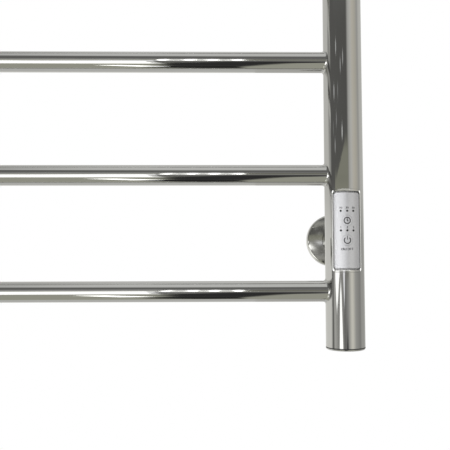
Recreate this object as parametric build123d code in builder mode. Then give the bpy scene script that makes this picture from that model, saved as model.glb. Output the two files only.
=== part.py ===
"""Electric towel warmer rack: a welded ladder of polished tubes on four wall brackets.

Millimetres, +Z up. The origin is the centre of the wall screw pattern, in the plane of the wall.
The front faces -Y, the wall is the plane Y = 0, and +X is to the right of someone looking at the front.
The heating cable runs through every tube, and its control is set in the front of the right post.
"""

from build123d import *
import os
from math import pi, sqrt

# Frame tubes
post_od = 30.0
post_wall = 1.5
post_spacing = 500.0
post_reach = 42.0
bar_od = 16.0
bar_wall = 1.0
bar_pitch = 90.0
bar_count = 8
bar_poke = 1.0
bar_fit = 0.1
weld_leg = 2.0
weld_fit = 0.02

# Caps that close the ends of the posts
cap_thickness = 2.0
cap_edge = 1.2
cap_joint = 0.35
cap_plug_length = 8.0
cap_plug_wall = 2.0
cap_fit = 0.1

# Wall brackets
stand_off = 74.0
bracket_inset = 42.0
sleeve_od = 20.0
sleeve_bore = 14.0
slide_room = 4.0
foot_room = 1.8
foot_thickness = 3.0
spigot_length = 28.0
spigot_fit = 0.1
foot_edge = 0.6
screw_spacing = 29.0
screw_hole = 5.0
cable_bore = 8.0
grub_diameter = 5.0
grub_fit = 0.1
grub_socket = 2.5
grub_socket_depth = 1.5
grub_inset = 13.0

# Rosettes that slide along the brackets and hide the feet
rosette_od = 46.0
rosette_lap = 1.0
rosette_wall = 1.2
rosette_front = 1.5
rosette_edge = 2.0
rosette_crown = 70.0
rosette_wall_gap = 0.4
rosette_fit = 0.15
rosette_hub_wall = 3.0
rosette_hub_length = 6.0
ring_section = 1.5
ring_fit = 0.05
ring_groove_width = 1.8

# Control window in the right post
control_above_bar = 46.0
window_width = 21.8
window_height = 62.7
window_corner = 2.0
bezel_fit = 0.1
bezel_proud = 0.2
bezel_edge = 0.3
bezel_lip_side = 0.75
bezel_lip_end = 1.5
groove_side = 0.7
groove_end = 1.3
ledge_side = 1.0
ledge_end = 5.5
gasket_thickness = 0.5
gasket_width = 1.1
gasket_fit = 0.04
face_wall = 1.6
face_corner = 1.2
face_edge = 0.4

# Buttons, switches and lights on the control
button_diameter = 8.0
button_fit = 0.12
button_flange = 0.7
button_flange_thickness = 0.5
button_gap = 0.15
button_travel = 0.5
timer_above = 7.4
power_below = 7.4
light_rows = (14.7, -0.1)
light_spread = 4.73
light_diameter = 1.2
light_fit = 0.05
light_gap = 0.05
light_chip = (1.6, 0.8, 0.7)
switch_side = 6.0
switch_height = 2.0
plunger_diameter = 3.0
plunger_fit = 0.1
plunger_rise = 1.1
plunger_depth = 0.8

# Board, tray and the electrical pieces behind the face
board_thickness = 1.6
board_fit = 0.2
tray_side_fit = 0.4
tray_wall = 1.2
tray_depth = 9.2
hook_length = 3.0
hook_width = 10.0
hook_fit = 0.2
module_screw = 2.0
module_screw_head = 3.6
module_screw_head_height = 1.3
module_screw_sink = 1.5
module_screw_length = 7.0
module_screw_fit = 0.08
relay_size = (10.0, 12.0, 6.4)
relay_margin = 1.8
capacitor_size = (6.0, 11.0)
capacitor_above = 1.0
block_size = (12.0, 8.0, 6.6)
block_margin = 2.8
block_screw = 2.6
block_screw_pitch = 3.8
block_screw_depth = 2.0
block_screw_fit = 0.08
block_screw_rise = 1.8
block_lead_drop = 2.0

# Heating cable and the pieces inside the posts
cable_od = 3.0
cable_swing = 6.0
cable_bend_margin = 1.0
cable_rest = 0.15
cable_fit = 0.05
cable_hole_room = 0.3
lead_bend = 7.0
seal_od = 3.6
seal_length = 18.0
seal_cover = 8.0
seal_fit = 0.05
cutout_od = 6.0
cutout_length = 20.0
cutout_rest = 0.2
grommet_flange = 1.5
grommet_flange_od = 12.0
grommet_groove_fit = 0.05
grommet_bore = 6.4
earth_stud = 4.0
earth_stud_length = 7.0
earth_nut = 7.0
earth_nut_height = 3.2
earth_tag_thickness = 0.8
earth_tag_od = 8.0
earth_above = 24.0
earth_fit = 0.05

# Places worked out from the sizes above
post_r = post_od / 2
post_bore_r = post_r - post_wall
bar_r = bar_od / 2
bar_bore_r = bar_r - bar_wall
post_y = -stand_off
post_x = post_spacing / 2
bar_heights = [(i - (bar_count - 1) / 2) * bar_pitch for i in range(bar_count)]
post_low = bar_heights[0] - post_reach
post_high = bar_heights[-1] + post_reach
post_length = post_high - post_low
bracket_heights = {"lower": bar_heights[0] + bracket_inset, "upper": bar_heights[-1] - bracket_inset}
side_places = {"left": -post_x, "right": post_x}
bar_end_gap = sqrt(post_bore_r**2 - bar_r**2) - bar_poke
bar_length = post_spacing - 2 * bar_end_gap
sleeve_r = sleeve_od / 2
spigot_r = sleeve_bore / 2 - spigot_fit
foot_r = rosette_od / 2 - rosette_wall - foot_room
sleeve_wall_gap = foot_thickness + slide_room
grub_from_wall = sleeve_wall_gap + grub_inset
rosette_depth = sleeve_wall_gap + rosette_lap + rosette_hub_length

control_z = bar_heights[0] + control_above_bar
front = Plane(origin=(post_x, post_y, control_z), x_dir=(1, 0, 0), z_dir=(0, -1, 0))
level = Plane(origin=(post_x, post_y, control_z - window_height))
level_span = 2 * window_height
bezel_width = window_width - 2 * bezel_fit
bezel_height = window_height - 2 * bezel_fit
groove_width = bezel_width - 2 * bezel_lip_side
groove_height = bezel_height - 2 * bezel_lip_end
face_width = groove_width - 2 * groove_side
face_height = groove_height - 2 * groove_end
ledge_width = face_width - 2 * ledge_side
ledge_height = face_height - 2 * ledge_end
face_back_r = post_r - face_wall
ledge_r = face_back_r - gasket_thickness

flange_r = button_diameter / 2 + button_flange
flange_front = sqrt(face_back_r**2 - flange_r**2) - button_gap
flange_back = flange_front - button_flange_thickness
switch_front = flange_back - plunger_rise
board_front = switch_front - switch_height
board_back = board_front - board_thickness
tray_back = board_back - tray_depth
board_width = ledge_width - 2 * board_fit
board_height = ledge_height - 2 * board_fit
tray_width = ledge_width + 2 * tray_side_fit
tray_height = window_height + 2 * hook_length
cavity_width = tray_width - 2 * tray_wall
relay_above = board_height / 2 - relay_margin - relay_size[1] / 2
block_below = board_height / 2 - block_margin - block_size[1] / 2
screw_rise = (ledge_height / 2 + face_height / 2 - gasket_width) / 2

cable_r = cable_od / 2
cable_sag = bar_bore_r - seal_od / 2 - cable_rest
cable_bend = bar_end_gap + cable_swing - cable_bend_margin
block_back = board_back - block_size[2]


def save(part, name):
    """Labels a finished piece and writes it under its own name."""
    part.label = name
    export_step(part, f"parts/{name}.step")


def build_post(x, inward):
    """A round post with a hole in its inward side for every bar."""
    with BuildPart() as post:
        with BuildSketch(Plane(origin=(x, post_y, post_low))):
            Circle(post_r)
            Circle(post_bore_r, mode=Mode.SUBTRACT)
        extrude(amount=post_length)
        with BuildSketch(Plane(origin=(x, post_y, 0), x_dir=(0, 1, 0), z_dir=(inward, 0, 0))):
            with Locations(*[(0, inward * z) for z in bar_heights]):
                Circle(bar_r + bar_fit)
        extrude(amount=post_od, mode=Mode.SUBTRACT)
    return post.part


def build_right_post():
    """The right post also has the control window in front and the cable hole behind."""
    with BuildPart() as post:
        add(build_post(post_x, -1))
        with BuildSketch(front):
            RectangleRounded(window_width, window_height, window_corner)
        extrude(amount=post_od, mode=Mode.SUBTRACT)
        back = Plane(origin=(post_x, post_y, bracket_heights["lower"]), x_dir=(1, 0, 0), z_dir=(0, 1, 0))
        with BuildSketch(back):
            Circle(cable_bore / 2)
        extrude(amount=post_od, mode=Mode.SUBTRACT)
    return post.part


def build_flare(stub_r):
    """A stub of that radius along +X from a post's surface, with its weld fillet round the joint."""
    reach = post_r + 4 * weld_leg
    height = 4 * stub_r
    with BuildPart() as flare:
        with BuildSketch(Plane.XY.offset(-height / 2)):
            Circle(post_r)
        extrude(amount=height)
        with BuildSketch(Plane.YZ):
            Circle(stub_r)
        extrude(amount=reach)
        corner = flare.edges().filter_by_position(Axis.X, post_r / 2, post_r + weld_leg)
        fillet(corner.filter_by_position(Axis.Z, -stub_r, stub_r), weld_leg)
        with BuildSketch(Plane.XY.offset(-height / 2)):
            Circle(post_r + weld_fit)
        extrude(amount=height, mode=Mode.SUBTRACT)
    return flare.part


def build_bar(z, flare):
    """One straight bar with its weld fillets, whose ends pass through the walls of both posts."""
    start = Plane(origin=(-bar_length / 2, post_y, z), z_dir=(1, 0, 0))
    with BuildPart() as bar:
        with BuildSketch(start):
            Circle(bar_r)
        extrude(amount=bar_length)
        with Locations(Location((-post_x, post_y, z)), Location((post_x, post_y, z), (0, 0, 180))):
            add(flare)
        with BuildSketch(start):
            Circle(bar_bore_r)
        extrude(amount=bar_length, mode=Mode.SUBTRACT)
    return bar.part


def build_cap(x, end_z, outward):
    """A round cap with a hollow plug that enters the end of a post."""
    end = Plane(origin=(x, post_y, end_z), x_dir=(1, 0, 0), z_dir=(0, 0, outward))
    with BuildPart() as cap:
        with BuildSketch(end):
            Circle(post_r)
        extrude(amount=cap_thickness)
        rim = cap.edges().sort_by(Axis((x, post_y, end_z), (0, 0, outward)))[-1]
        fillet(rim, cap_edge)
        joint = cap.edges().filter_by(GeomType.CIRCLE).filter_by_position(Axis.Z, end_z, end_z)
        chamfer(joint, cap_joint)
        with BuildSketch(end):
            Circle(post_bore_r - cap_fit)
            Circle(post_bore_r - cap_fit - cap_plug_wall, mode=Mode.SUBTRACT)
        extrude(amount=-cap_plug_length)
    return cap.part


def build_sleeve(x, z, flare):
    """A bracket sleeve with its weld fillet on the post, drilled below for its grub screw."""
    end = Plane(origin=(x, -sleeve_wall_gap, z), x_dir=(1, 0, 0), z_dir=(0, -1, 0))
    length = stand_off - sleeve_wall_gap
    with BuildPart() as sleeve:
        with BuildSketch(end):
            Circle(sleeve_r)
        extrude(amount=length)
        with BuildSketch(Plane(origin=(x, post_y, z - sleeve_od))):
            Circle(post_r + weld_fit)
        extrude(amount=2 * sleeve_od, mode=Mode.SUBTRACT)
        with Locations(Location((x, post_y, z), (0, 0, 90))):
            add(flare)
        with BuildSketch(end):
            Circle(sleeve_bore / 2)
        extrude(amount=length, mode=Mode.SUBTRACT)
        with BuildSketch(Plane(origin=(x, -grub_from_wall, z), x_dir=(1, 0, 0), z_dir=(0, 0, -1))):
            Circle(grub_diameter / 2 + grub_fit / 2)
        extrude(amount=sleeve_od, mode=Mode.SUBTRACT)
    return sleeve.part


def build_grub_screws():
    """The four grub screws, each sunk in its sleeve and a hair off its spigot."""
    tip = spigot_r + grub_fit
    length = sqrt(sleeve_r**2 - (grub_diameter / 2) ** 2) - grub_fit - tip
    with BuildPart() as screws:
        for x in side_places.values():
            for z in bracket_heights.values():
                seat = Plane(origin=(x, -grub_from_wall, z), x_dir=(1, 0, 0), z_dir=(0, 0, -1))
                with BuildSketch(seat.offset(tip)):
                    Circle(grub_diameter / 2)
                extrude(amount=length)
                with BuildSketch(seat.offset(tip + length)):
                    RegularPolygon(grub_socket / 2, 6, major_radius=False)
                extrude(amount=-grub_socket_depth, mode=Mode.SUBTRACT)
    return screws.part


def build_foot(x, z, wired):
    """A wall foot: a round plate with two screw holes and the spigot that the sleeve slides on."""
    wall = Plane(origin=(x, 0, z), x_dir=(1, 0, 0), z_dir=(0, -1, 0))
    with BuildPart() as foot:
        with BuildSketch(wall):
            Circle(foot_r)
            with GridLocations(screw_spacing, 0, 2, 1):
                Circle(screw_hole / 2, mode=Mode.SUBTRACT)
        extrude(amount=foot_thickness)
        rim = foot.edges().filter_by(GeomType.CIRCLE).filter_by(lambda e: e.radius > screw_spacing / 2)
        chamfer(rim.sort_by(Axis.Y)[0], foot_edge)
        with BuildSketch(wall.offset(foot_thickness)):
            Circle(spigot_r)
        extrude(amount=spigot_length)
        chamfer(foot.edges().sort_by(Axis.Y)[0], foot_edge)
        if wired:
            with BuildSketch(wall):
                Circle(cable_bore / 2)
            extrude(amount=foot_thickness + spigot_length, mode=Mode.SUBTRACT)
    return foot.part


def ring_places():
    """The middle radius of a rosette's rubber ring and how far its middle is from the wall."""
    middle = sleeve_r + ring_fit + ring_section / 2
    from_wall = rosette_depth - rosette_hub_length / 2
    return middle, from_wall


def crown_drop(radius):
    """How far the crowned front of a rosette falls back between its bore and that radius."""
    bore = sleeve_r + rosette_fit
    return sqrt(rosette_crown**2 - bore**2) - sqrt(rosette_crown**2 - radius**2)


def build_rosette(x, z):
    """A crowned round cup with a hub that slides on the sleeve and a groove for its rubber ring."""
    bore = sleeve_r + rosette_fit
    hub = bore + rosette_hub_wall
    rim = rosette_od / 2
    inside = rim - rosette_wall
    ring_middle, ring_from_wall = ring_places()
    groove = ring_middle + ring_section / 2 + ring_fit
    turn = Axis((x, 0, z), (0, 1, 0))
    with BuildPart() as rosette:
        with BuildSketch(Plane(origin=(x, 0, z))) as profile:
            with BuildLine():
                front_edge = (rim, -rosette_depth + crown_drop(rim))
                RadiusArc((bore, -rosette_depth), front_edge, -rosette_crown)
                Polyline(
                    front_edge,
                    (rim, -rosette_wall_gap),
                    (inside, -rosette_wall_gap),
                    (inside, -rosette_depth + crown_drop(inside) + rosette_front),
                    (hub, -rosette_depth + crown_drop(hub) + rosette_front),
                    (hub, -rosette_depth + rosette_hub_length),
                    (bore, -rosette_depth + rosette_hub_length),
                    (bore, -rosette_depth),
                )
            make_face()
            fillet(profile.vertices().sort_by_distance(front_edge)[0], rosette_edge)
            with Locations(((bore + groove) / 2 - rosette_fit, -ring_from_wall)):
                Rectangle(groove - bore + 2 * rosette_fit, ring_groove_width, mode=Mode.SUBTRACT)
        revolve(axis=turn)
    return rosette.part


def build_rosette_ring(x, z):
    """The rubber ring that holds a rosette where it is put on its sleeve."""
    middle, from_wall = ring_places()
    with BuildPart() as ring:
        with BuildSketch(Plane(origin=(x, 0, z))):
            with Locations((middle, -from_wall)):
                Circle(ring_section / 2)
        revolve(axis=Axis((x, 0, z), (0, 1, 0)))
    return ring.part


def build_bezel():
    """The bright frame of the control: a lip round the window and a ledge that carries the face."""
    with BuildPart() as bezel:
        with BuildSketch(front.offset(board_back)):
            RectangleRounded(bezel_width, bezel_height, window_corner - bezel_fit)
            Rectangle(ledge_width, ledge_height, mode=Mode.SUBTRACT)
        extrude(amount=post_od)
        with BuildSketch(level):
            Circle(post_r + bezel_proud)
        extrude(amount=level_span, mode=Mode.INTERSECT)
        with BuildSketch(front):
            RectangleRounded(groove_width, groove_height, face_corner + groove_side)
        groove = extrude(amount=post_od, mode=Mode.PRIVATE)
        with BuildSketch(level):
            Circle(ledge_r)
        add(groove - extrude(amount=level_span, mode=Mode.PRIVATE), mode=Mode.SUBTRACT)
        lip = bezel.faces().filter_by(GeomType.CYLINDER).filter_by(lambda f: f.radius > post_r)
        fillet(lip.edges(), bezel_edge)
        with BuildSketch(front.offset(board_back)):
            with GridLocations(0, 2 * screw_rise, 1, 2):
                Circle(module_screw / 2 + module_screw_fit)
        extrude(amount=post_od, mode=Mode.SUBTRACT)
        with BuildSketch(front.offset(ledge_r - module_screw_sink)):
            with GridLocations(0, 2 * screw_rise, 1, 2):
                Circle(module_screw_head / 2 + module_screw_fit)
        extrude(amount=post_od, mode=Mode.SUBTRACT)
    return bezel.part


def build_gasket():
    """The thin rubber seal between the ledge and the back of the face."""
    with BuildPart() as gasket:
        with BuildSketch(front):
            RectangleRounded(face_width, face_height, face_corner)
            Rectangle(ledge_width, face_height - 2 * gasket_width, mode=Mode.SUBTRACT)
        extrude(amount=post_od)
        with BuildSketch(level):
            Circle(face_back_r - gasket_fit)
            Circle(ledge_r + gasket_fit, mode=Mode.SUBTRACT)
        extrude(amount=level_span, mode=Mode.INTERSECT)
    return gasket.part


def build_face():
    """The silver face, flush with the round of the post, with its button and light holes."""
    with BuildPart() as face:
        with BuildSketch(front):
            RectangleRounded(face_width, face_height, face_corner)
        extrude(amount=post_od)
        with BuildSketch(level):
            Circle(post_r)
            Circle(face_back_r, mode=Mode.SUBTRACT)
        extrude(amount=level_span, mode=Mode.INTERSECT)
        outside = face.faces().filter_by(GeomType.CYLINDER).sort_by(SortBy.AREA)[-1]
        chamfer(outside.edges(), face_edge)
        with BuildSketch(front):
            with Locations((0, timer_above), (0, -power_below)):
                Circle(button_diameter / 2 + button_fit)
            for row in light_rows:
                with Locations((-light_spread, row), (0, row), (light_spread, row)):
                    Circle(light_diameter / 2 + light_fit)
        extrude(amount=post_od, mode=Mode.SUBTRACT)
    return face.part


def build_button(rise):
    """A round button, flush with the face, with a flange that keeps it behind the face."""
    with BuildPart() as button:
        with BuildSketch(front.offset(flange_front)):
            with Locations((0, rise)):
                Circle(button_diameter / 2)
        extrude(amount=post_r)
        with BuildSketch(level):
            Circle(post_r)
        extrude(amount=level_span, mode=Mode.INTERSECT)
        with BuildSketch(front.offset(flange_back)):
            with Locations((0, rise)):
                Circle(flange_r)
        extrude(amount=button_flange_thickness)
    return button.part


def build_plunger(rise):
    """The plunger of a push switch, which stands under its button."""
    with BuildPart() as plunger:
        with BuildSketch(front.offset(switch_front - plunger_depth)):
            with Locations((0, rise)):
                Circle(plunger_diameter / 2)
        extrude(amount=plunger_depth + plunger_rise)
    return plunger.part


def build_switches():
    """The bodies of the two push switches, each with a well for its plunger."""
    well = plunger_depth + button_travel + plunger_fit
    with BuildPart() as switches:
        with BuildSketch(front.offset(board_front)):
            with Locations((0, timer_above), (0, -power_below)):
                Rectangle(switch_side, switch_side)
        extrude(amount=switch_height)
        with BuildSketch(front.offset(switch_front)):
            with Locations((0, timer_above), (0, -power_below)):
                Circle(plunger_diameter / 2 + plunger_fit)
        extrude(amount=-well, mode=Mode.SUBTRACT)
    return switches.part


def build_light_pipes():
    """Six clear pins that carry the indicator lights to the face."""
    with BuildPart() as pipes:
        with BuildSketch(front.offset(board_front + light_chip[2] + light_gap)):
            for row in light_rows:
                with Locations((-light_spread, row), (0, row), (light_spread, row)):
                    Circle(light_diameter / 2)
        extrude(amount=post_r)
        with BuildSketch(level):
            Circle(post_r)
        extrude(amount=level_span, mode=Mode.INTERSECT)
    return pipes.part


def build_light_chips():
    """The six indicator lights on the board."""
    with BuildPart() as chips:
        with BuildSketch(front.offset(board_front)):
            for row in light_rows:
                with Locations((-light_spread, row), (0, row), (light_spread, row)):
                    Rectangle(light_chip[0], light_chip[1])
        extrude(amount=light_chip[2])
    return chips.part


def build_board():
    """The circuit board, which lies on the rim of the tray."""
    with BuildPart() as board:
        with BuildSketch(front.offset(board_back)):
            Rectangle(board_width, board_height)
        extrude(amount=board_thickness)
    return board.part


def build_tray():
    """The tray behind the board: its two hooks hold the ends of the window from inside the post."""
    lead_way = cable_r + cable_hole_room
    with BuildPart() as tray:
        with BuildSketch(front.offset(tray_back)):
            Rectangle(tray_width, tray_height)
        extrude(amount=tray_depth)
        with BuildSketch(front.offset(tray_back + tray_wall)):
            Rectangle(cavity_width, board_height)
        extrude(amount=tray_depth, mode=Mode.SUBTRACT)
        with BuildSketch(front.offset(board_back)):
            with GridLocations(0, window_height + hook_length, 1, 2):
                Rectangle(hook_width, hook_length)
        extrude(amount=post_r)
        with BuildSketch(level):
            Circle(post_bore_r - hook_fit)
        extrude(amount=level_span, mode=Mode.INTERSECT)
        with BuildSketch(front.offset(board_back)):
            with GridLocations(0, 2 * screw_rise, 1, 2):
                Circle(module_screw / 2 + module_screw_fit)
        extrude(amount=-(module_screw_length - (ledge_r - module_screw_sink - board_back) + board_fit),
                mode=Mode.SUBTRACT)
        with BuildSketch(front.offset(tray_back)):
            with Locations((0, -block_below - block_lead_drop)):
                Circle(lead_way)
        extrude(amount=tray_wall, mode=Mode.SUBTRACT)
    return tray.part


def build_module_screws():
    """Two screws under the face, which pull the bezel and the tray together on the wall of the post."""
    seat = front.offset(ledge_r - module_screw_sink)
    with BuildPart() as screws:
        with BuildSketch(seat):
            with GridLocations(0, 2 * screw_rise, 1, 2):
                Circle(module_screw_head / 2)
        extrude(amount=module_screw_head_height)
        with BuildSketch(seat):
            with GridLocations(0, 2 * screw_rise, 1, 2):
                Circle(module_screw / 2)
        extrude(amount=-module_screw_length)
    return screws.part


def build_on_board(size, rise):
    """A plain box under the board, such as a relay."""
    with BuildPart() as piece:
        with BuildSketch(front.offset(board_back)):
            with Locations((0, rise)):
                Rectangle(size[0], size[1])
        extrude(amount=-size[2])
    return piece.part


def build_capacitor():
    """A round capacitor that lies across the back of the board."""
    radius = capacitor_size[0] / 2
    lying = Plane(
        origin=front.from_local_coords((-capacitor_size[1] / 2, capacitor_above, board_back - radius)),
        x_dir=(0, 0, 1),
        z_dir=(1, 0, 0),
    )
    with BuildPart() as capacitor:
        with BuildSketch(lying):
            Circle(radius)
        extrude(amount=capacitor_size[1])
    return capacitor.part


def build_terminal_block():
    """The block where the mains cores and the heating cable are joined, with its screw wells."""
    with BuildPart() as block:
        add(build_on_board(block_size, -block_below))
        with BuildSketch(front.offset(block_back)):
            with Locations((0, block_screw_rise - block_below)):
                with GridLocations(block_screw_pitch, 0, 3, 1):
                    Circle(block_screw / 2 + block_screw_fit)
        extrude(amount=block_screw_depth, mode=Mode.SUBTRACT)
    return block.part


def build_terminal_screws():
    """The three clamping screws of the terminal block."""
    with BuildPart() as screws:
        with BuildSketch(front.offset(block_back)):
            with Locations((0, block_screw_rise - block_below)):
                with GridLocations(block_screw_pitch, 0, 3, 1):
                    Circle(block_screw / 2)
        extrude(amount=block_screw_depth - block_screw_fit)
    return screws.part


def cable_lead():
    """The heating cable's corners from the terminal block down to the end of the lowest bar."""
    lead_z = control_z - block_below - block_lead_drop
    lead_y = post_y - tray_back + lead_bend
    return [
        (post_x, post_y - block_back + cable_fit, lead_z),
        (post_x, lead_y, lead_z),
        (post_x, lead_y, bar_heights[0] + bar_r),
        (post_x - bar_end_gap + lead_bend, post_y, bar_heights[0] - cable_sag),
    ]


def cable_runs():
    """The heating cable's corners to and fro through the bars, up to its end in the highest bar."""
    points = []
    way = -1
    for z in bar_heights:
        start = (-way * (post_x + cable_swing), post_y, z - cable_sag)
        end = (way * (post_x + cable_swing), post_y, z - cable_sag)
        points += [start, end]
        way = -way
    tip = (-way * (bar_length / 2 - seal_length), post_y, bar_heights[-1] - cable_sag)
    return points[1:-1] + [tip]


def build_heating_cable(lead, runs):
    """One unbroken cable along that route, and the length of the route."""
    radii = [lead_bend for corner in lead[1:]] + [cable_bend for corner in runs[:-1]]
    with BuildPart() as cable:
        with BuildLine() as route:
            FilletPolyline(*lead, *runs, radius=radii)
        with BuildSketch(Plane(origin=lead[0], x_dir=(1, 0, 0), z_dir=(0, 1, 0))):
            Circle(cable_r)
        sweep()
    return cable.part, route.wire().length


def build_cable_seal(tip):
    """The moulded cap that seals the far end of the heating cable."""
    end_x, end_y, end_z = tip
    way = 1 if end_x > 0 else -1
    with BuildPart() as seal:
        with BuildSketch(Plane(origin=(end_x - way * seal_cover, end_y, end_z), z_dir=(way, 0, 0))):
            Circle(seal_od / 2)
        extrude(amount=seal_length)
        with BuildSketch(Plane(origin=(end_x - way * seal_cover, end_y, end_z), z_dir=(way, 0, 0))):
            Circle(cable_r + seal_fit)
        extrude(amount=seal_cover + seal_fit, mode=Mode.SUBTRACT)
    return seal.part


def build_thermal_cutout():
    """The thermal cut-out, against the inside of the post behind the lowest bar's end."""
    place = (post_x + post_bore_r - cutout_od / 2 - cutout_rest, post_y, bar_heights[0] - cutout_length / 2)
    with BuildPart() as cutout:
        with BuildSketch(Plane(origin=place)):
            Circle(cutout_od / 2)
        extrude(amount=cutout_length)
    return cutout.part


def build_grommet():
    """The rubber bush that lines the cable hole in the post, inside the lower right sleeve."""
    hole = Plane(origin=(post_x, post_y, bracket_heights["lower"]), x_dir=(1, 0, 0), z_dir=(0, 1, 0))
    with BuildPart() as grommet:
        with BuildSketch(hole.offset(post_bore_r - grommet_flange)):
            Circle(grommet_flange_od / 2)
        extrude(amount=2 * grommet_flange + post_wall)
        with BuildSketch(Plane(origin=(post_x, post_y, bracket_heights["lower"] - post_r))):
            Circle(post_r + grommet_groove_fit)
            Circle(post_bore_r - grommet_groove_fit, mode=Mode.SUBTRACT)
        wall = extrude(amount=post_od, mode=Mode.PRIVATE)
        with BuildSketch(hole):
            Circle(cable_bore / 2 - grommet_groove_fit)
        add(wall - extrude(amount=post_od, mode=Mode.PRIVATE), mode=Mode.SUBTRACT)
        with BuildSketch(hole):
            Circle(grommet_bore / 2)
        extrude(amount=post_od, mode=Mode.SUBTRACT)
    return grommet.part


def build_earth_pieces():
    """The earth stud inside the back of the post, the cable tag on it and the nut that holds the tag."""
    wall = front.offset(-post_bore_r)
    stud_base = sqrt(post_bore_r**2 - (earth_stud / 2) ** 2) - post_bore_r
    with BuildPart() as stud:
        with BuildSketch(wall.offset(-stud_base + earth_fit)):
            with Locations((0, earth_above)):
                Circle(earth_stud / 2)
        extrude(amount=earth_stud_length)
    tag_base = post_bore_r - sqrt(post_bore_r**2 - (earth_tag_od / 2) ** 2) + earth_fit
    with BuildPart() as tag:
        with BuildSketch(wall.offset(tag_base)):
            with Locations((0, earth_above)):
                Circle(earth_tag_od / 2)
                Circle(earth_stud / 2 + earth_fit, mode=Mode.SUBTRACT)
        extrude(amount=earth_tag_thickness)
    with BuildPart() as nut:
        with BuildSketch(wall.offset(tag_base + earth_tag_thickness)):
            with Locations((0, earth_above)):
                RegularPolygon(earth_nut / 2, 6, major_radius=False)
                Circle(earth_stud / 2 + earth_fit, mode=Mode.SUBTRACT)
        extrude(amount=earth_nut_height)
    return {"earth_stud": stud.part, "earth_tag": tag.part, "earth_nut": nut.part}


os.makedirs("parts", exist_ok=True)

# Frame
save(build_post(-post_x, 1), "left_post")
save(build_right_post(), "right_post")
bar_flare = build_flare(bar_r)
for number, height in enumerate(bar_heights, start=1):
    save(build_bar(height, bar_flare), f"towel_bar_{number}")
for side, x in side_places.items():
    save(build_cap(x, post_low, -1), f"{side}_bottom_cap")
    save(build_cap(x, post_high, 1), f"{side}_top_cap")

# Wall brackets
sleeve_flare = build_flare(sleeve_r)
for side, x in side_places.items():
    for rank, z in bracket_heights.items():
        save(build_sleeve(x, z, sleeve_flare), f"{rank}_{side}_sleeve")
        save(build_foot(x, z, wired=(side, rank) == ("right", "lower")), f"{rank}_{side}_foot")
        save(build_rosette(x, z), f"{rank}_{side}_rosette")
        save(build_rosette_ring(x, z), f"{rank}_{side}_rosette_ring")
save(build_grub_screws(), "grub_screws")

# Control
save(build_bezel(), "control_bezel")
save(build_gasket(), "control_gasket")
save(build_face(), "control_face")
save(build_button(timer_above), "timer_button")
save(build_button(-power_below), "power_button")
save(build_plunger(timer_above), "timer_plunger")
save(build_plunger(-power_below), "power_plunger")
save(build_switches(), "push_switches")
save(build_light_pipes(), "light_pipes")
save(build_light_chips(), "indicator_lights")
save(build_board(), "control_board")
save(build_tray(), "control_tray")
save(build_module_screws(), "control_screws")
save(build_on_board(relay_size, relay_above), "power_relay")
save(build_capacitor(), "capacitor")
save(build_terminal_block(), "terminal_block")
save(build_terminal_screws(), "terminal_screws")

# Heating cable and the pieces inside the right post
runs = cable_runs()
heating_cable, route_length = build_heating_cable(cable_lead(), runs)
tube_share = heating_cable.volume / (pi * cable_r**2 * route_length)
print(f"heating cable: length {route_length:.1f}, volume over section times length {tube_share:.5f}")
save(heating_cable, "heating_cable")
save(build_cable_seal(runs[-1]), "heating_cable_seal")
save(build_thermal_cutout(), "thermal_cutout")
save(build_grommet(), "cable_grommet")
for name, piece in build_earth_pieces().items():
    save(piece, name)
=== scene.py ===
import math

import bmesh
import bpy
from mathutils import Matrix, Vector


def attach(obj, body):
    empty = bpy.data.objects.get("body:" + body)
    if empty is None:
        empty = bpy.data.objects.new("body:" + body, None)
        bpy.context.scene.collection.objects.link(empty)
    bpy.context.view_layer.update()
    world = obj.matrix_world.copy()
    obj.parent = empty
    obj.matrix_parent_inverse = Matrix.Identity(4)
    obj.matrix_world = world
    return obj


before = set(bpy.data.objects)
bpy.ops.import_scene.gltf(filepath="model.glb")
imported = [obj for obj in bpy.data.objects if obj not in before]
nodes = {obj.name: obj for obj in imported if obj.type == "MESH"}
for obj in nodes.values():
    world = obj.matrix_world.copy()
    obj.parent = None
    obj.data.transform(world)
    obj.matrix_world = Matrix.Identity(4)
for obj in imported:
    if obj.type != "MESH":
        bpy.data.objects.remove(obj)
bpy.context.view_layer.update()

# Sizes of the rack in metres, in the row frame
POST_X = 0.250
POST_Y = -0.074
POST_R = 0.015
POST_END = 0.357
BRACKET_Z = 0.273
CONTROL_Z = -0.269

# The rosette's soft front ends at the first radius, and its bright rim starts at the second
ROSETTE_EDGE = (0.0203, 0.0210)

# Places on the control's face, from its middle
TIMER_RISE = 0.0074
POWER_RISE = -0.0074
WORDS_RISE = -0.0141
LIGHTS_X = (-0.00473, 0.0, 0.00473)
LIGHT_ROWS = (0.0147, -0.0001)
LABEL_ROWS = ((0.0171, ("10", "20", "30")), (0.0023, ("1", "2", "3")))


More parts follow.
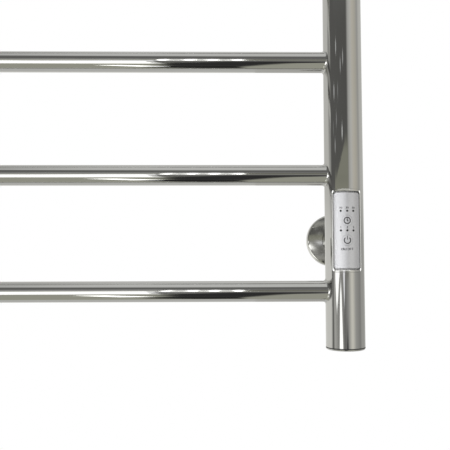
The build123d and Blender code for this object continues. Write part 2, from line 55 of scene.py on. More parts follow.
class Graph:
    """Short calls for building a node tree."""

    def __init__(self, tree):
        self.tree = tree
        tree.nodes.clear()

    def add(self, kind, **settings):
        node = self.tree.nodes.new(kind)
        for name, value in settings.items():
            setattr(node, name, value)
        return node

    def put(self, socket, value):
        """Links an output to a socket, or sets the socket to a constant."""
        if isinstance(value, bpy.types.NodeSocket):
            self.tree.links.new(value, socket)
        else:
            socket.default_value = value

    def fill(self, node, **values):
        """Puts values on sockets: their names in lower case, with _ for a space."""
        for name, value in values.items():
            self.put(node.inputs[name.replace("_", " ").title()], value)
        return node.outputs[0]

    def math(self, operation, *values):
        node = self.add("ShaderNodeMath", operation=operation)
        for socket, value in zip(node.inputs, values):
            self.put(socket, value)
        return node.outputs[0]

    def squares(self, first, second):
        """The sum of two squares."""
        return self.math("ADD", self.math("MULTIPLY", first, first),
                         self.math("MULTIPLY", second, second))

    def split(self, vector):
        node = self.add("ShaderNodeSeparateXYZ")
        self.put(node.inputs[0], vector)
        return node.outputs

    def span(self, value, source, target, kind="LINEAR"):
        """Carries the range source over to the range target, and holds past its ends."""
        node = self.add("ShaderNodeMapRange", interpolation_type=kind)
        return self.fill(node, value=value, from_min=source[0], from_max=source[1],
                         to_min=target[0], to_max=target[1])

    def step(self, value, source, target=(0.0, 1.0)):
        """The same with a soft start and end."""
        return self.span(value, source, target, "SMOOTHSTEP")

    def mix(self, factor, low, high):
        node = self.add("ShaderNodeMix", data_type="RGBA")
        for socket, value in ((0, factor), (6, low), (7, high)):
            self.put(node.inputs[socket], value)
        return node.outputs[2]

    def noise(self, place, scale, detail, rough):
        node = self.add("ShaderNodeTexNoise")
        return self.fill(node, vector=place, scale=scale, detail=detail, roughness=rough)

    def place(self, stretch=(1.0, 1.0, 1.0)):
        """The place on the object, stretched along its axes."""
        node = self.add("ShaderNodeMapping")
        whole = self.add("ShaderNodeTexCoord").outputs["Object"]
        return self.fill(node, vector=whole, scale=stretch)

    def ramp(self, value, stops):
        node = self.add("ShaderNodeValToRGB")
        points = node.color_ramp.elements
        while len(points) < len(stops):
            points.new(0.5)
        for point, (place, colour) in zip(points, stops):
            point.position = place
            point.color = colour
        self.put(node.inputs[0], value)
        return node.outputs[0]

    def bump(self, height, distance, strength):
        node = self.add("ShaderNodeBump")
        return self.fill(node, height=height, distance=distance, strength=strength)


def grey(value, warm=0.0):
    """A grey of that strength, a little yellow where warm is above 0."""
    return (value, value, value * (1.0 - warm), 1.0)


def solid(colour, share=1.0):
    """A share of a colour, no brighter than white, as a socket takes it."""
    return tuple(min(1.0, c * share) for c in colour) + (1.0,)


def material(name):
    made = bpy.data.materials.new(name)
    made.use_nodes = True
    graph = Graph(made.node_tree)
    shader = graph.add("ShaderNodeBsdfPrincipled")
    out = graph.add("ShaderNodeOutputMaterial")
    graph.tree.links.new(shader.outputs[0], out.inputs["Surface"])
    return made, graph, shader.inputs


# Materials. Noise scales are per metre, bump distances in metres

STEEL_TONE = 0.58
TONE_SPREAD = 0.02
NOISE_MIDDLE = (0.3, 0.7)
NOISE_WIDE = (0.2, 0.8)


def polished_steel(name, stretch, tone=STEEL_TONE, rough=(0.025, 0.07)):
    """Mirror polished steel with faint lines along the polishing direction and soft smears."""
    made, g, s = material(name)
    lines = g.noise(g.place(stretch), scale=900.0, detail=3.0, rough=0.6)
    smears = g.noise(g.place(), scale=38.0, detail=4.0, rough=0.55)
    s["Metallic"].default_value = 1.0
    dull, bright = grey(tone - TONE_SPREAD, warm=0.03), grey(tone + TONE_SPREAD, warm=0.01)
    g.put(s["Base Color"], g.mix(smears, dull, bright))
    wear = g.math("MULTIPLY", lines, smears)
    g.put(s["Roughness"], g.span(wear, (0.12, 0.42), rough))
    g.put(s["Normal"], g.bump(lines, distance=0.0000012, strength=0.35))
    return made


def rosette_steel(name, tone=STEEL_TONE):
    """Polished steel whose turned front is finished softer than its bright rim."""
    made, g, s = material(name)
    x, _, z = g.split(g.place())
    across = g.math("SUBTRACT", g.math("ABSOLUTE", x), POST_X)
    up = g.math("SUBTRACT", g.math("ABSOLUTE", z), BRACKET_Z)
    reach = g.math("SQRT", g.squares(across, up))
    turned = g.add("ShaderNodeCombineXYZ")
    g.put(turned.inputs[0], reach)
    rings = g.noise(turned.outputs[0], scale=5200.0, detail=3.0, rough=0.6)
    smears = g.noise(g.place(), scale=60.0, detail=4.0, rough=0.55)
    s["Metallic"].default_value = 1.0
    dull, bright = grey(tone - TONE_SPREAD, warm=0.05), grey(tone + TONE_SPREAD, warm=0.03)
    g.put(s["Base Color"], g.mix(smears, dull, bright))
    front = g.span(rings, NOISE_MIDDLE, (0.13, 0.17))
    rim = g.span(smears, NOISE_MIDDLE, (0.03, 0.06))
    edge = g.step(reach, ROSETTE_EDGE)
    inside = g.math("SUBTRACT", 1.0, edge)
    rough = g.math("ADD", g.math("MULTIPLY", front, inside), g.math("MULTIPLY", rim, edge))
    g.put(s["Roughness"], rough)
    g.put(s["Normal"], g.bump(rings, distance=0.000002, strength=0.2))
    return made


def satin_steel(name, tone=0.5):
    """Turned steel left plain, where a cover hides it."""
    made, g, s = material(name)
    grain = g.noise(g.place((1.0, 6.0, 1.0)), scale=700.0, detail=4.0, rough=0.6)
    s["Metallic"].default_value = 1.0
    g.put(s["Base Color"], g.mix(grain, grey(tone * 0.85), grey(tone * 1.1)))
    g.put(s["Roughness"], g.span(grain, NOISE_WIDE, (0.26, 0.42)))
    g.put(s["Normal"], g.bump(grain, distance=0.00001, strength=0.4))
    return made


def silver_paint(name):
    """Silver lacquer with a fine metallic grain."""
    made, g, s = material(name)
    place = g.place()
    flakes = g.noise(place, scale=5200.0, detail=2.0, rough=0.7)
    cloud = g.noise(place, scale=1500.0, detail=3.0, rough=0.6)
    grain = g.math("ADD", g.math("MULTIPLY", flakes, 0.5), g.math("MULTIPLY", cloud, 0.5))
    dark, light = solid((0.55, 0.552, 0.572)), solid((0.70, 0.702, 0.73))
    g.put(s["Base Color"], g.mix(g.step(grain, NOISE_MIDDLE), dark, light))
    s["Metallic"].default_value = 0.68
    g.put(s["Roughness"], g.span(grain, NOISE_MIDDLE, (0.34, 0.42)))
    g.put(s["Normal"], g.bump(grain, distance=0.000003, strength=0.3))
    s["Coat Weight"].default_value = 0.15
    s["Coat Roughness"].default_value = 0.2
    return made


def moulded(name, colour, rough=0.45, scale=1400.0, depth=0.00001):
    """Moulded plastic or rubber with a fine eroded skin."""
    spread, rough_spread, cloud_size = 0.18, 0.08, 30.0
    made, g, s = material(name)
    place = g.place()
    skin = g.noise(place, scale, detail=4.0, rough=0.6)
    cloud = g.noise(place, scale / cloud_size, detail=3.0, rough=0.5)
    blend = g.math("MULTIPLY", g.math("ADD", skin, cloud), 0.5)
    g.put(s["Base Color"], g.mix(blend, solid(colour, 1.0 - spread), solid(colour, 1.0 + spread)))
    g.put(s["Roughness"], g.span(skin, NOISE_WIDE, (rough - rough_spread, rough + rough_spread)))
    g.put(s["Normal"], g.bump(skin, depth, strength=0.5))
    return made


def plain_metal(name, colour, rough):
    """Small plated hardware."""
    made, g, s = material(name)
    skin = g.noise(g.place(), scale=1600.0, detail=4.0, rough=0.6)
    s["Metallic"].default_value = 1.0
    g.put(s["Base Color"], g.mix(skin, solid(colour, 0.86), solid(colour)))
    g.put(s["Roughness"], g.span(skin, NOISE_WIDE, (rough - 0.07, rough + 0.09)))
    g.put(s["Normal"], g.bump(skin, distance=0.000008, strength=0.4))
    return made


def smoked(name):
    """The dark clear ends of the light pins."""
    made, g, s = material(name)
    skin = g.noise(g.place(), scale=2200.0, detail=2.0, rough=0.5)
    dark, light = solid((0.004, 0.004, 0.005)), solid((0.012, 0.012, 0.013))
    g.put(s["Base Color"], g.mix(skin, dark, light))
    g.put(s["Roughness"], g.span(skin, NOISE_WIDE, (0.3, 0.4)))
    s["Specular IOR Level"].default_value = 0.2
    return made


def ink(name):
    """Dark screen print, a little uneven."""
    made, g, s = material(name)
    cover = g.noise(g.place(), scale=5200.0, detail=3.0, rough=0.6)
    dark, light = solid((0.018, 0.018, 0.021)), solid((0.055, 0.055, 0.06))
    g.put(s["Base Color"], g.mix(cover, dark, light))
    g.put(s["Roughness"], g.span(cover, NOISE_WIDE, (0.42, 0.6)))
    return made


def board_green(name):
    """Solder mask with the shimmer of the tracks under it."""
    made, g, s = material(name)
    tracks = g.add("ShaderNodeTexWave", wave_type="BANDS", bands_direction="Z")
    g.fill(tracks, vector=g.place(), scale=260.0, distortion=1.5)
    shimmer = tracks.outputs["Fac"]
    dark, light = solid((0.006, 0.075, 0.03)), solid((0.02, 0.16, 0.07))
    g.put(s["Base Color"], g.mix(shimmer, dark, light))
    g.put(s["Roughness"], g.span(shimmer, (0.0, 1.0), (0.3, 0.4)))
    return made


# One finish for each material slot of the record. The bars have their own, polished lengthwise
bar_steel = polished_steel("polished_bar_steel", (0.05, 1.0, 1.0))
post_steel = polished_steel("polished_post_steel", (1.0, 1.0, 0.05))
turned_steel = polished_steel("polished_turned_steel", (1.0, 0.2, 1.0))
finish = {
    "polished_tube": post_steel,
    "polished_cap": turned_steel,
    "polished_sleeve": turned_steel,
    "polished_rosette": rosette_steel("polished_rosette_steel"),
    "foot_steel": satin_steel("foot_satin_steel"),
    "black_rubber": moulded("rubber_black", (0.022, 0.022, 0.023), 0.62, 1100.0, 0.00002),
    "screw_steel": plain_metal("screw_plated_steel", (0.42, 0.42, 0.42), 0.32),
    "bezel_chrome": polished_steel("bezel_bright_chrome", (1.0, 1.0, 0.3), 0.66, (0.03, 0.08)),
    "silver_face": silver_paint("face_silver_paint"),
    "black_plastic": moulded("plastic_black", (0.03, 0.03, 0.032)),
    "smoked_plastic": smoked("light_pin_smoked"),
    "light_chip": moulded("light_chip_white", (0.75, 0.73, 0.62), 0.35),
    "board_green": board_green("board_solder_mask"),
    "relay_blue": moulded("relay_blue_case", (0.03, 0.11, 0.34), 0.4),
    "capacitor_sleeve": moulded("capacitor_dark_sleeve", (0.05, 0.05, 0.09), 0.3),
    "terminal_grey": moulded("terminal_grey_nylon", (0.36, 0.37, 0.36), 0.5),
    "cable_silicone": moulded("cable_silicone_red", (0.30, 0.045, 0.03), 0.5),
    "cutout_metal": plain_metal("cutout_case_metal", (0.55, 0.53, 0.48), 0.3),
    "earth_brass": plain_metal("earth_brass", (0.62, 0.47, 0.22), 0.26),
}
print_ink = ink("print_dark_ink")

for name, node in nodes.items():
    slot = node.material_slots[0].material.name.split(".")[0]
    chosen = bar_steel if name.startswith("towel_bar") else finish[slot]
    node.material_slots[0].material = chosen


# New pieces: rings of points skinned into closed forms

def on_post(spot, radius):
    """A point of the control, by its place across and up the face, at a radius of the post."""
    depth = math.sqrt(radius * radius - spot.x * spot.x)
    return (POST_X + spot.x, POST_Y - depth, CONTROL_Z + spot.y)


def add_skin(work, rings, closed=True):
    """Faces from ring to ring. A run that isn't closed gets a face at each end."""
    rows = [[work.verts.new(point) for point in ring] for ring in rings]
    following = rows[1:] + rows[:1] if closed else rows[1:]
    for row, after in zip(rows, following):
        for k in range(len(row)):
            m = (k + 1) % len(row)
            work.faces.new((row[k], row[m], after[m], after[k]))
    if not closed:
        work.faces.new(tuple(reversed(rows[0])))
        work.faces.new(rows[-1])


def make_piece(name, work, surface, smooth=False):
    """An object of that name from the work, which ends here."""
    bmesh.ops.recalc_face_normals(work, faces=work.faces)
    for face in work.faces:
        face.smooth = smooth
    mesh = bpy.data.meshes.new(name)
    work.to_mesh(mesh)
    work.free()
    piece = bpy.data.objects.new(name, mesh)
    bpy.context.scene.collection.objects.link(piece)
    mesh.materials.append(surface)
    return piece


# Printed marks on the control: ribbons laid on the round of the face

PRINT_FOOT = POST_R + 0.000004
PRINT_TOP = POST_R + 0.000030
PRINT_RUN = 0.0003
MARK_STROKE = 0.00078
HAND_STROKE = 0.00072
POWER_STROKE = 0.0005
TIMER_RING_R = 0.00232
POWER_ARC_R = 0.00238
SURROUND_R, SURROUND_STROKE = 0.0007, 0.00022
MITRE_LIMIT = 0.45


def ribbon(points, width, closed=False):
    """Pairs of points either side of a line, which are the edges of a stroke of that width."""
    count = len(points)
    pairs = []
    for i, point in enumerate(points):
        before = points[i - 1] if (closed or i > 0) else point
        after = points[(i + 1) % count] if (closed or i < count - 1) else point
        first = Vector(point) - Vector(before)
        second = Vector(after) - Vector(point)
        if first.length == 0.0:
            first = second
        if second.length == 0.0:
            second = first
        along = first.normalized() + second.normalized()
        if along.length < 1e-6:
            along = first
        along.normalize()
        across = Vector((-along.y, along.x))
        mitre = abs(across.dot(Vector((-first.y, first.x)).normalized()))
        reach = width / 2 / max(MITRE_LIMIT, mitre)
        pairs.append((Vector(point) + across * reach, Vector(point) - across * reach))
    return pairs


def divided(points, longest):
    """The same line with no run longer than that."""
    made = [Vector(points[0])]
    for start, end in zip(points, points[1:]):
        run = (Vector(end) - Vector(start)).length
        parts = max(1, math.ceil(run / longest))
        for k in range(1, parts + 1):
            made.append(Vector(start).lerp(Vector(end), k / parts))
    return made


def arc(centre, radius, start, end, parts):
    """Points on a round, by angles in degrees from the right, turning left."""
    made = []
    for k in range(parts + 1):
        turn = math.radians(start + (end - start) * k / parts)
        made.append((centre[0] + radius * math.cos(turn), centre[1] + radius * math.sin(turn)))
    return made


def circle(centre, radius, parts):
    return arc(centre, radius, 0, 360, parts)[:-1]


def print_marks(name, strokes, body):
    """Strokes as (points, width, closed) in metres on the face, made into one thin print."""
    work = bmesh.new()
    for points, width, closed in strokes:
        line = points if closed else divided(points, PRINT_RUN)
        rings = []
        for left, right in ribbon(line, width, closed):
            rings.append((on_post(left, PRINT_TOP), on_post(right, PRINT_TOP),
                          on_post(right, PRINT_FOOT), on_post(left, PRINT_FOOT)))
        add_skin(work, rings, closed)
    piece = make_piece(name, work, print_ink)
    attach(piece, body)


# Lines of each sign in a box one unit high, and the signs whose lines are loops
GLYPHS = {
    "O": [circle((0.35, 0.5), 0.42, 28)],
    "N": [[(0.0, 0.0), (0.0, 1.0), (0.62, 0.0), (0.62, 1.0)]],
    "F": [[(0.0, 0.0), (0.0, 1.0), (0.56, 1.0)], [(0.0, 0.52), (0.48, 0.52)]],
    "/": [[(0.0, -0.08), (0.42, 1.08)]],
    "0": [circle((0.3, 0.5), 0.4, 24)],
    "1": [[(0.08, 0.78), (0.3, 1.0), (0.3, 0.0)]],
    "2": [[(0.02, 0.78), (0.14, 0.97), (0.36, 1.0), (0.54, 0.86), (0.54, 0.66), (0.0, 0.0),
           (0.58, 0.0)]],
    "3": [[(0.02, 0.9), (0.22, 1.0), (0.46, 0.94), (0.52, 0.72), (0.4, 0.55), (0.22, 0.52),
           (0.42, 0.48), (0.56, 0.28), (0.46, 0.06), (0.22, 0.0), (0.0, 0.1)]],
}
LOOPS = {"O", "0"}
GLYPH_MIDDLE = (0.3, 0.5)


def word(text, centre, height, pitch, stroke):
    """The strokes of a short word, centred on a place on the face."""
    strokes = []
    start = centre[0] - pitch * (len(text) - 1) / 2
    for i, sign in enumerate(text):
        for line in GLYPHS[sign]:
            placed = []
            for x, y in line:
                placed.append((start + i * pitch + (x - GLYPH_MIDDLE[0]) * height,
                               centre[1] + (y - GLYPH_MIDDLE[1]) * height))
            strokes.append((placed, stroke, sign in LOOPS))
    return strokes


print_marks("timer_mark", [
    (circle((0.0, TIMER_RISE), TIMER_RING_R, 48), MARK_STROKE, True),
    ([(0.0, TIMER_RISE + 0.0016), (0.0, TIMER_RISE - 0.0002)], HAND_STROKE, False),
    ([(-0.0001, TIMER_RISE + 0.0002), (0.0008, TIMER_RISE - 0.0006)], HAND_STROKE, False),
], "timer_key")
print_marks("power_mark", [
    (arc((0.0, POWER_RISE - 0.0001), POWER_ARC_R, 128, 412, 44), MARK_STROKE, False),
    ([(0.0, POWER_RISE + 0.0033), (0.0, POWER_RISE + 0.0004)], POWER_STROKE, False),
], "power_key")
labels = []
for row, texts in LABEL_ROWS:
    for place, text in zip(LIGHTS_X, texts):
        labels += word(text, (place, row), height=0.00125, pitch=0.0011, stroke=0.0003)
for row in LIGHT_ROWS:
    for place in LIGHTS_X:
        labels.append((circle((place, row), SURROUND_R, 32), SURROUND_STROKE, True))
print_marks("level_numbers", labels, "rack")
power_words = word("ON/OFF", (0.0, WORDS_RISE), height=0.0016, pitch=0.0016, stroke=0.00034)
print_marks("power_words", power_words, "rack")


# The grey seal in the groove round the face

CORNER_PARTS, END_PARTS, SIDE_PARTS = 8, 10, 24
# Width, height and corner of its two edges, radii of the post, and how deep its ends lie
SEAL_OUTER = (0.02006, 0.05946, 0.0019)
SEAL_INNER = (0.01874, 0.05694, 0.0012)
SEAL_BED = 0.01294
SEAL_CROWN = ((0.0, 0.01425), (0.2, 0.01441), (0.5, 0.01447), (0.8, 0.01441), (1.0, 0.01425))
SEAL_SINK = 0.0009
SEAL_SINK_FROM = 0.0277


def rounded_loop(width, height, corner):
    """Points round a rectangle with round corners, matched between loops of different size."""
    made = []
    for quarter in range(4):
        centre_x = (width / 2 - corner) * (1 if quarter in (0, 3) else -1)
        centre_z = (height / 2 - corner) * (1 if quarter in (0, 1) else -1)
        for k in range(CORNER_PARTS + 1):
            turn = math.radians(90 * quarter + 90 * k / CORNER_PARTS)
            made.append(Vector((centre_x + corner * math.cos(turn),
                                centre_z + corner * math.sin(turn))))
        here = made[-1]
        if quarter % 2 == 0:
            there, parts = Vector((-here.x, here.y)), END_PARTS
        else:
            there, parts = Vector((here.x, -here.y)), SIDE_PARTS
        for k in range(1, parts):
            made.append(here.lerp(there, k / parts))
    return made


def build_groove_seal():
    """A crowned loop that fills the groove, set deeper at its top and bottom ends."""
    work = bmesh.new()
    rings = []
    for outer, inner in zip(rounded_loop(*SEAL_OUTER), rounded_loop(*SEAL_INNER)):
        sink = SEAL_SINK if abs(inner.y) > SEAL_SINK_FROM else 0.0
        crown = [(share, radius - sink) for share, radius in SEAL_CROWN]
        profile = [(0.0, SEAL_BED)] + crown + [(1.0, SEAL_BED)]
        rings.append([on_post(outer.lerp(inner, share), radius) for share, radius in profile])
    add_skin(work, rings)
    surface = moulded("seal_grey_silicone", (0.42, 0.42, 0.42))
    piece = make_piece("groove_seal", work, surface, smooth=True)
    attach(piece, "rack")


build_groove_seal()


# Black beads in the joints between the posts and their caps: painted shade, a dark line where the
# gap between post and cap is in shadow

# Points of the bead's profile: past the post's radius, and outward from its end
BEAD_PROFILE = ((-0.00034, 0.0), (0.00002, 0.0), (0.00004, 0.0002), (0.00004, 0.0006),
                (0.000015, 0.00075), (0.000001, 0.00074), (0.000001, 0.00036))
BEAD_TURNS = 120
BEAD_SHARP = math.radians(40.0)


def gap_shade_bead(name, x, outward):
    """A thin black bead that fills the groove at a post's end and laps over the cap, as painted
    shade of that gap.
    """
    work = bmesh.new()
    rings = []
    for k in range(BEAD_TURNS):
        turn = 2.0 * math.pi * k / BEAD_TURNS
        ring = []
        for past, drop in BEAD_PROFILE:
            reach = POST_R + past
            ring.append((x + reach * math.cos(turn), POST_Y + reach * math.sin(turn),
                         outward * (POST_END + drop)))
        rings.append(ring)
    add_skin(work, rings)
    # Black rubber here is painted shade: it darkens the joint where the gap's shadow falls
    piece = make_piece(name, work, finish["black_rubber"], smooth=True)
    piece.data.set_sharp_from_angle(angle=BEAD_SHARP)
    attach(piece, "rack")


for side, x in (("left", -POST_X), ("right", POST_X)):
    for end, outward in (("bottom", -1.0), ("top", 1.0)):
        gap_shade_bead("%s_%s_bead" % (side, end), x, outward)


# Camera, fitted to the photograph: sizes in its pixels, turns in radians, place in metres

PICTURE = 450.0
FOCAL_LENGTH = 562.19
PICTURE_CENTRE = (262.84, 227.95)
YAW, PITCH, ROLL = 0.0133, -0.0682, -0.0026
CAMERA_PLACE = (0.181085, -0.508500, -0.295816)
SENSOR_MM = 36.0


def camera_axes(yaw, pitch, roll):
    """The directions right, down and forward of the camera."""
    base = Matrix(((1, 0, 0), (0, 0, -1), (0, 1, 0)))
    turn = Matrix(((math.cos(yaw), -math.sin(yaw), 0), (math.sin(yaw), math.cos(yaw), 0),
                   (0, 0, 1)))
    tilt = Matrix(((1, 0, 0), (0, math.cos(pitch), -math.sin(pitch)),
                   (0, math.sin(pitch), math.cos(pitch))))
    lean = Matrix(((math.cos(roll), -math.sin(roll), 0), (math.sin(roll), math.cos(roll), 0),
                   (0, 0, 1)))
    return lean @ tilt @ base @ turn


def place_camera():
    lens = bpy.data.cameras.new("camera")
    lens.sensor_fit = "HORIZONTAL"
    lens.sensor_width = SENSOR_MM
    lens.lens = FOCAL_LENGTH * SENSOR_MM / PICTURE
    lens.shift_x = (PICTURE / 2 - PICTURE_CENTRE[0]) / PICTURE
    lens.shift_y = (PICTURE_CENTRE[1] - PICTURE / 2) / PICTURE
    lens.clip_start = 0.01
    lens.clip_end = 50.0
    camera = bpy.data.objects.new("camera", lens)
    bpy.context.scene.collection.objects.link(camera)
    right, down, forward = camera_axes(YAW, PITCH, ROLL)
    pose = Matrix((right, -down, -forward)).transposed().to_4x4()
    pose.translation = Vector(CAMERA_PLACE)
    camera.matrix_world = pose
    bpy.context.scene.camera = camera


place_camera()


# World: a white ground, and round the stage the panels and flags that the polish shows.
# Azimuth is 0 at the front and grows to the right, elevation grows upwards, both in degrees.

# (azimuth, level) round the stage above and below eye level; a tuple is a colour
UPPER_RING = ((-180, 0.62), (-125, 0.72), (-101, 0.70), (-92, 0.14), (14, 0.125), (25, 0.53),
              (39, 0.68), (52, (0.70, 0.665, 0.59)), (66, (0.64, 0.61, 0.53)), (91, 0.465),
              (112, 0.65), (180, 0.62))
LOWER_RING = ((-180, 0.84), (-99, 0.86), (-88, 0.31), (-82, 0.10), (-77, 0.42), (-70, 0.59),
              (-48, 0.36), (-18, 0.36), (-13, 0.20), (0, 0.30), (12, 0.43),
              (30, (0.86, 0.84, 0.76)), (38, (0.84, 0.82, 0.74)), (55, 0.47), (86, 0.32),
              (104, 0.50), (115, 0.46), (180, 0.62))
RING_TINT = (1.0, 0.992, 0.945)
EYE_LEVEL = (2.0, 9.0)
MATT_LEVEL = 0.5
WINDOW = (1.8, 1.8, 1.78, 1.0)
COOL_WINDOW = (1.15, 1.15, 1.2, 1.0)

# Panels, each laid over those before it: colour, top and bottom edge as (elevation, left azimuth,
# right azimuth), and how soft its sides and its ends are
PANELS = (
    # Ceiling, and its darker part at the left
    (grey(0.76, 0.02), (91, -181, 181), (48, -181, 181), 2.5, 7.0),
    (grey(0.54, 0.02), (68, -140, -48), (50, -140, -48), 8.0, 6.0),
    # Ground in front, and at the back left
    ((0.46, 0.46, 0.39, 1.0), (-24, -96, 98), (-91, -96, 98), 3.0, 6.0),
    (grey(0.68, 0.03), (-30, -184, -98), (-91, -184, -98), 3.0, 6.0),
    # Band over the camera, and the low wall behind it
    (grey(0.19, 0.03), (41, -60, 14), (27, -60, 14), 6.0, 4.0),
    ((0.31, 0.31, 0.255, 1.0), (12.5, 0, 20), (8.5, -56, 20), 1.5, 1.2),
    ((0.33, 0.33, 0.27, 1.0), (9, -58, 20), (2, -58, 20), 1.5, 1.2),
    ((0.25, 0.25, 0.22, 1.0), (7, 0, 14), (-1, 0, 14), 1.5, 1.0),
    # Dark upright at the far left
    (grey(0.02), (17, -94, -88), (2.5, -93, -87), 1.2, 1.5),
    # Soft windows left of the camera
    (WINDOW, (1, -66, -33), (-4.3, -58, -54), 1.5, 0.8),
    (COOL_WINDOW, (1, -21, -6), (-3.8, -14, -11.5), 1.5, 0.8),
    (WINDOW, (-2, -37, -29.5), (-11, -46, -19.5), 1.5, 1.0),
    # The dark flag below the camera, in three lengths
    (grey(0.05), (-7, -2, 9), (-24, -8, 7), 2.0, 2.5),
    (grey(0.04), (-20, -9, 5), (-56, -15, 0.0), 2.0, 2.5),
    (grey(0.03), (-55, -15, 0.0), (-84, -52, -7), 2.0, 2.5),
)

# Small oval lamps over the camera and left of it: (azimuth, elevation) and level
SMALL_LAMPS = (((-47.0, 21.6), 0.6), ((-5.8, 20.6), 0.5), ((-20.4, 19.9), 0.45),
               ((-58.9, 17.4), 0.6), ((-37.7, 17.5), 0.3), ((-47.5, 14.7), 0.35),
               ((-14.0, 13.5), 0.8), ((-66.8, 13.8), 0.3), ((-55.5, 12.1), 0.4))
LAMP_SIZE = (3.0, 0.75)
LAMP_EDGE = (0.35, 1.3)
FALLING = (1.0, 0.0)


def paint_world():
    world = bpy.data.worlds.new("studio")
    bpy.context.scene.world = world
    world.use_nodes = True
    g = Graph(world.node_tree)
    x, y, z = g.split(g.add("ShaderNodeTexCoord").outputs["Generated"])
    front = g.math("MULTIPLY", y, -1.0)
    azimuth = g.math("DEGREES", g.math("ARCTAN2", x, front))
    elevation = g.math("DEGREES", g.math("ARCSINE", z))

    def edge(low, high, at_low, at_high):
        """The azimuth of a panel's side, which may lean."""
        return at_high if at_high == at_low else g.span(elevation, (low, high), (at_low, at_high))

    def panel(ground, colour, top, bottom, soft_side, soft_end):
        """A four-sided panel over the ground."""
        high, left_high, right_high = top
        low, left_low, right_low = bottom
        past_left = g.math("SUBTRACT", azimuth, edge(low, high, left_low, left_high))
        past_right = g.math("SUBTRACT", azimuth, edge(low, high, right_low, right_high))
        sides = g.math("MULTIPLY", g.step(past_left, (-soft_side, soft_side)),
                       g.step(past_right, (-soft_side, soft_side), FALLING))
        ends = g.math("MULTIPLY", g.step(elevation, (low - soft_end, low + soft_end)),
                      g.step(elevation, (high - soft_end, high + soft_end), FALLING))
        return g.mix(g.math("MULTIPLY", sides, ends), ground, colour)

    def lamp(ground, colour, place):
        """A small oval lamp over the ground."""
        across = g.math("DIVIDE", g.math("SUBTRACT", azimuth, place[0]), LAMP_SIZE[0])
        up = g.math("DIVIDE", g.math("SUBTRACT", elevation, place[1]), LAMP_SIZE[1])
        return g.mix(g.step(g.squares(across, up), LAMP_EDGE, FALLING), ground, colour)

    def ring(stops):
        made = []
        for turn, level in stops:
            tinted = level if isinstance(level, tuple) else tuple(level * c for c in RING_TINT)
            made.append(((turn + 180.0) / 360.0, tinted + (1.0,)))
        return g.ramp(g.span(azimuth, (-180.0, 180.0), (0.0, 1.0)), made)

    upper = ring(UPPER_RING)
    lower = ring(LOWER_RING)
    paint = g.mix(g.step(elevation, EYE_LEVEL), lower, upper)
    for sheet in PANELS:
        paint = panel(paint, *sheet)
    for place, level in SMALL_LAMPS:
        paint = lamp(paint, grey(level), place)

    path = g.add("ShaderNodeLightPath")
    shown = g.math("ADD", path.outputs["Is Glossy Ray"], path.outputs["Is Transmission Ray"])
    shown = g.math("MINIMUM", shown, 1.0)
    soft = g.mix(shown, grey(MATT_LEVEL), paint)
    colour = g.mix(path.outputs["Is Camera Ray"], soft, grey(1.0))
    background = g.add("ShaderNodeBackground")
    g.fill(background, color=colour, strength=1.0)
    out = g.add("ShaderNodeOutputWorld")
    g.tree.links.new(background.outputs[0], out.inputs["Surface"])


paint_world()


# Lamps

def area_lamp(name, place, target, size, power, shape="RECTANGLE"):
    """A lamp that neither the camera nor the polish shows."""
    data = bpy.data.lights.new(name, "AREA")
    data.shape = shape
    data.size, data.size_y = size
    data.energy = power
    lit = bpy.data.objects.new(name, data)
    bpy.context.scene.collection.objects.link(lit)
    lit.location = place
    lit.rotation_euler = (Vector(target) - Vector(place)).to_track_quat("-Z", "Y").to_euler()
    lit.visible_camera = False
    lit.visible_glossy = False
    return lit


area_lamp("key", (-0.85, -0.85, 0.0), (0.25, -0.08, -0.27), (0.7, 0.9), 15.0)
area_lamp("fill", (1.1, -0.9, 0.5), (0.25, -0.08, -0.2), (0.7, 0.7), 1.5)
area_lamp("top", (0.0, -0.4, 1.4), (0.0, -0.05, 0.0), (1.2, 0.8), 8.0)


# Soft boxes that only some of the parts show

# Watts per square metre of a box of level 1
LEVEL_WATTS = 3.1416
TO_WALL = (0.0, 1.0, 0.0)
UPWARDS = (0.0, 0.0, 1.0)
ROW_X = (-0.366, -0.204, -0.070, 0.080)


def receivers(name, *starts):
    """A group of the nodes whose names start so, for lamps to light alone."""
    made = bpy.data.collections.new(name)
    for node_name, node in nodes.items():
        if node_name.startswith(starts):
            made.objects.link(node)
    return made


def soft_box(name, group, place, facing, size, level, shape="RECTANGLE"):
    """A soft box of that level of brightness, seen in the polish of one group of nodes."""
    power = level * LEVEL_WATTS * size[0] * size[1]
    lit = area_lamp(name, place, Vector(place) + Vector(facing), size, power, shape)
    lit.visible_glossy = True
    lit.light_linking.receiver_collection = group
    return lit


bars = receivers("bar_light", "towel_bar")
face = receivers("face_light", "control_face", "timer_button", "power_button")
bezel = receivers("bezel_light", "control_bezel")
rosettes = receivers("rosette_light", "lower_left_rosette", "lower_right_rosette",
                     "upper_left_rosette", "upper_right_rosette")

# The window left of the camera, which fades upwards
soft_box("window", bars, (-0.284, -0.953, -0.455), TO_WALL, (0.432, 0.400), 1.3)
soft_box("window_edge", bars, (-0.275, -0.957, -0.470), TO_WALL, (0.450, 0.570), 0.65)
soft_box("window_glow", bars, (-0.275, -0.961, -0.100), TO_WALL, (0.450, 0.170), 0.30)
soft_box("window_haze", bars, (-0.275, -0.965, 0.070), TO_WALL, (0.450, 0.170), 0.10)

# A narrow box below the front, facing up, with its long side running back and to the right
low_window = soft_box("low_window", bars, (-0.035, -0.379, -0.615), UPWARDS, (0.21, 0.055), 2.4)
low_window.rotation_euler = (math.pi, 0.0, math.radians(60.2))

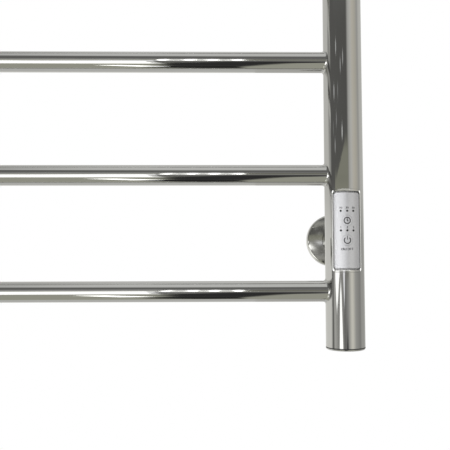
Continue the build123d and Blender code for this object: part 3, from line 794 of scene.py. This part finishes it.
# A row of lamps far behind the camera, in a haze
soft_box("bar_haze", bars, (-0.75, -3.078, 0.93), TO_WALL, (3.0, 0.45), 0.17)
soft_box("row_glow", bars, (-0.130, -3.074, 0.200), TO_WALL, (0.46, 0.95), 0.75)
for k, x in enumerate(ROW_X):
    soft_box("row_lamp_%d" % k, bars, (x, -3.072, 0.037), TO_WALL, (0.050, 0.130), 4.5, "ELLIPSE")
    soft_box("row_shade_%d" % k, bars, (x, -3.073, 0.250), TO_WALL, (0.078, 1.05), 1.1, "ELLIPSE")

# Boxes for the control and the rosettes
soft_box("face_window", face, (-0.180, -0.863, -0.269), (0.486, 0.874, 0.0), (1.15, 0.7), 0.75)
soft_box("rosette_left", rosettes, (-0.31, -0.33, -0.61), (0.75, 0.4, 0.433), (0.62, 0.5), 1.5)
soft_box("bezel_left", bezel, (-0.55, -0.16, -0.205), (1.0, 0.1, 0.0), (0.35, 0.24), 2.0)
soft_box("bezel_right", bezel, (1.03, 0.10, -0.205), (-1.0, -0.22, 0.0), (0.35, 0.24), 1.4)
soft_box("bezel_top", bezel, (0.20, -0.55, 0.35), (0.05, 0.55, -0.62), (0.8, 0.7), 3.0)
soft_box("bezel_low", bezel, (0.20, -0.55, -0.85), (0.05, 0.55, 0.58), (0.8, 0.5), 1.1)


# Floor

FLOOR_Z = -0.80
FLOOR_R = 3.0
FLOOR_PARTS = 96
SHADOW_REACH = (0.35, 0.95)
WHITE_SHARE = (0.86, 1.0)


def build_floor():
    """A pale round sheet well under the rack, with the shadow fading to white further out."""
    mesh = bpy.data.meshes.new("floor")
    work = bmesh.new()
    bmesh.ops.create_circle(work, cap_ends=True, segments=FLOOR_PARTS, radius=FLOOR_R)
    bmesh.ops.translate(work, verts=work.verts, vec=(0.0, 0.0, FLOOR_Z))
    work.to_mesh(mesh)
    work.free()
    floor = bpy.data.objects.new("floor", mesh)
    bpy.context.scene.collection.objects.link(floor)
    made = bpy.data.materials.new("floor_pale")
    made.use_nodes = True
    g = Graph(made.node_tree)
    matt = g.add("ShaderNodeBsdfDiffuse")
    g.fill(matt, color=grey(0.82))
    lit = g.add("ShaderNodeEmission")
    g.fill(lit, color=grey(1.0))
    path = g.add("ShaderNodeLightPath")
    both = g.add("ShaderNodeMixShader")
    x, y, _ = g.split(g.add("ShaderNodeTexCoord").outputs["Object"])
    white = g.step(g.math("SQRT", g.squares(x, y)), SHADOW_REACH, WHITE_SHARE)
    g.put(both.inputs[0], g.math("MULTIPLY", path.outputs["Is Camera Ray"], white))
    g.tree.links.new(matt.outputs[0], both.inputs[1])
    g.tree.links.new(lit.outputs[0], both.inputs[2])
    out = g.add("ShaderNodeOutputMaterial")
    g.tree.links.new(both.outputs[0], out.inputs["Surface"])
    mesh.materials.append(made)
    floor.visible_glossy = False


build_floor()

bpy.context.scene.view_settings.view_transform = "Standard"
